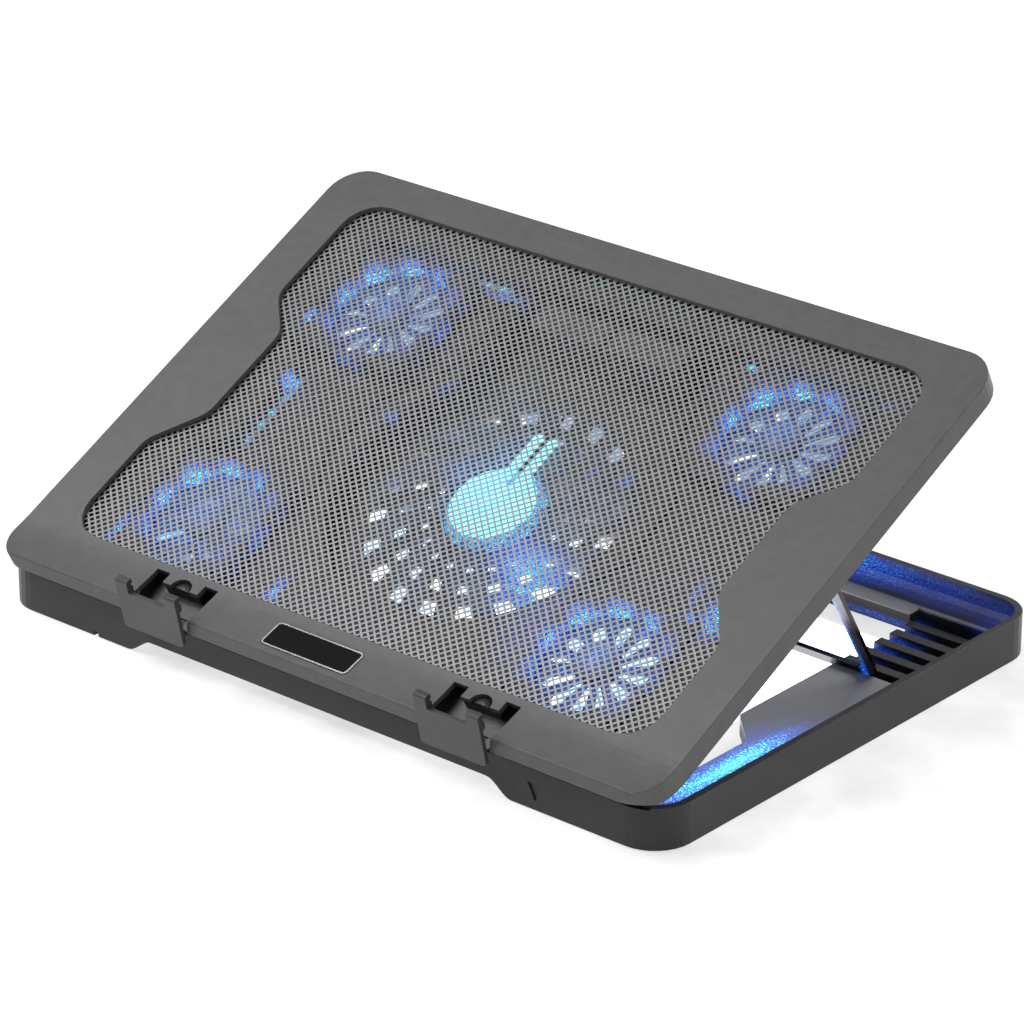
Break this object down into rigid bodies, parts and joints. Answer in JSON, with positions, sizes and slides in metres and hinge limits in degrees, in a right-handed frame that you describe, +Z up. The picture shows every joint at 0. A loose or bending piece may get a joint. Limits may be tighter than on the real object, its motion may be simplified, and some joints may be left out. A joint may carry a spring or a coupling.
{
  "type": "laptop cooling pad",
  "caption": "Tilting laptop cooling pad: waisted metal mesh deck over fans, flip-up front stoppers, folding rear stand, open rectangular base with stepped racks.",
  "frame": {"origin": "centre of the bounding box, on the floor under the rubber feet", "axes": "+X to the right along the deck hinge, +Y to the rear, +Z up"},
  "size_m": [0.3808, 0.2768, 0.1451],
  "materials": {
    "deck_plastic": "fine satin grain",
    "base_plastic": "fine satin grain",
    "pan_plastic": "matte",
    "cover_grey": "matte",
    "mesh_steel": "satin, finely perforated",
    "plate_black": "high gloss",
    "bezel_silver": "polished edge",
    "fan_frame_blue": "gloss, lit blue",
    "rotor_blue": "clear, lit blue",
    "rotor_clear": "clear",
    "cap_cyan": "lit cyan",
    "axle_steel": "ground",
    "stand_steel": "dark nickel",
    "pin_steel": "ground",
    "stopper_plastic": "fine satin grain",
    "tray_plastic": "matte",
    "pad_rubber": "matte",
    "board_green": "solder mask",
    "port_steel": "plated",
    "pot_black": "matte",
    "dial_plastic": "knurled",
    "wire_black": "matte",
    "led_blue": "lit blue",
    "screw_steel": "plated"
  },
  "bodies": {
    "base": {"base_frame": "base_plastic", "foot_pad_front_left": "pad_rubber", "foot_pad_front_right": "pad_rubber", "foot_pad_rear_left": "pad_rubber", "foot_pad_rear_right": "pad_rubber", "hinge_pin_left": "pin_steel", "hinge_pin_right": "pin_steel"},
    "deck": {"bottom_pan": "pan_plastic", "circuit_board": "board_green", "controller_cover": "cover_grey", "cover_screw_front_left": "screw_steel", "cover_screw_front_right": "screw_steel", "cover_screw_rear_left": "screw_steel", "cover_screw_rear_right": "screw_steel", "fan_frame_front_left": "fan_frame_blue", "fan_frame_front_right": "fan_frame_blue", "fan_frame_rear_left": "fan_frame_blue", "fan_frame_rear_right": "fan_frame_blue", "led_strip_front": "led_blue", "led_strip_left": "led_blue", "led_strip_rear_left": "led_blue", "led_strip_rear_right": "led_blue", "led_strip_right": "led_blue", "main_fan_axle": "axle_steel", "main_fan_cap": "cap_cyan", "mesh_grille": "mesh_steel", "nameplate": "plate_black", "nameplate_bezel": "bezel_silver", "speed_potentiometer": "pot_black", "stand_pin_left": "pin_steel", "stand_pin_right": "pin_steel", "stopper_pin_left": "pin_steel", "stopper_pin_right": "pin_steel", "stopper_tray_left": "tray_plastic", "stopper_tray_right": "tray_plastic", "top_cover": "deck_plastic", "usb_port_left": "port_steel", "usb_port_right": "port_steel", "wire_fan_front_left": "wire_black", "wire_fan_front_right": "wire_black", "wire_fan_rear_left": "wire_black", "wire_fan_rear_right": "wire_black", "wire_main_fan": "wire_black"},
    "stand": {"stand_frame": "stand_steel"},
    "stopper_left": {"stopper_left": "stopper_plastic"},
    "stopper_right": {"stopper_right": "stopper_plastic"},
    "fan_rotor_front_left": {"fan_rotor_front_left": "rotor_blue"},
    "fan_rotor_front_right": {"fan_rotor_front_right": "rotor_blue"},
    "fan_rotor_rear_left": {"fan_rotor_rear_left": "rotor_blue"},
    "fan_rotor_rear_right": {"fan_rotor_rear_right": "rotor_blue"},
    "main_fan_rotor": {"main_fan_rotor": "rotor_clear"},
    "speed_dial": {"speed_dial": "dial_plastic"}
  },
  "joints": [
    {"name": "deck_tilt", "type": "hinge", "parent": "base", "child": "deck", "pos_m": [0, -0.11605, 0.009], "axis": [1, 0, 0], "range_deg": [-26.5, 0]},
    {"name": "stand_fold", "type": "hinge", "parent": "deck", "child": "stand", "pos_m": [0, 0.00823, 0.08557], "axis": [1, 0, 0], "range_deg": [0, 85.5]},
    {"name": "stopper_left_flip", "type": "hinge", "parent": "deck", "child": "stopper_left", "pos_m": [-0.0864, -0.12913, 0.02042], "axis": [1, 0, 0], "range_deg": [-76.5, 0]},
    {"name": "stopper_right_flip", "type": "hinge", "parent": "deck", "child": "stopper_right", "pos_m": [0.0864, -0.12913, 0.02042], "axis": [1, 0, 0], "range_deg": [-76.5, 0]},
    {"name": "fan_spin_front_left", "type": "hinge", "parent": "deck", "child": "fan_rotor_front_left", "pos_m": [-0.1127, -0.07385, 0.04781], "axis": [0, -0.4469, 0.8946], "continuous": true},
    {"name": "fan_spin_front_right", "type": "hinge", "parent": "deck", "child": "fan_rotor_front_right", "pos_m": [0.1127, -0.07385, 0.04781], "axis": [0, -0.4469, 0.8946], "continuous": true},
    {"name": "fan_spin_rear_left", "type": "hinge", "parent": "deck", "child": "fan_rotor_rear_left", "pos_m": [-0.1127, 0.04799, 0.10868], "axis": [0, -0.4469, 0.8946], "continuous": true},
    {"name": "fan_spin_rear_right", "type": "hinge", "parent": "deck", "child": "fan_rotor_rear_right", "pos_m": [0.1127, 0.04799, 0.10868], "axis": [0, -0.4469, 0.8946], "continuous": true},
    {"name": "main_fan_spin", "type": "hinge", "parent": "deck", "child": "main_fan_rotor", "pos_m": [0, -0.0086, 0.0642], "axis": [0, -0.4469, 0.8946], "continuous": true},
    {"name": "speed_dial_turn", "type": "hinge", "parent": "deck", "child": "speed_dial", "pos_m": [0.024, 0.10332, 0.13688], "axis": [0, -0.4469, 0.8946], "range_deg": [-140, 140]}
  ],
  "couplings": [
    {"joint": "stand_fold", "follows": "deck_tilt", "ratio": -3.223}
  ]
}
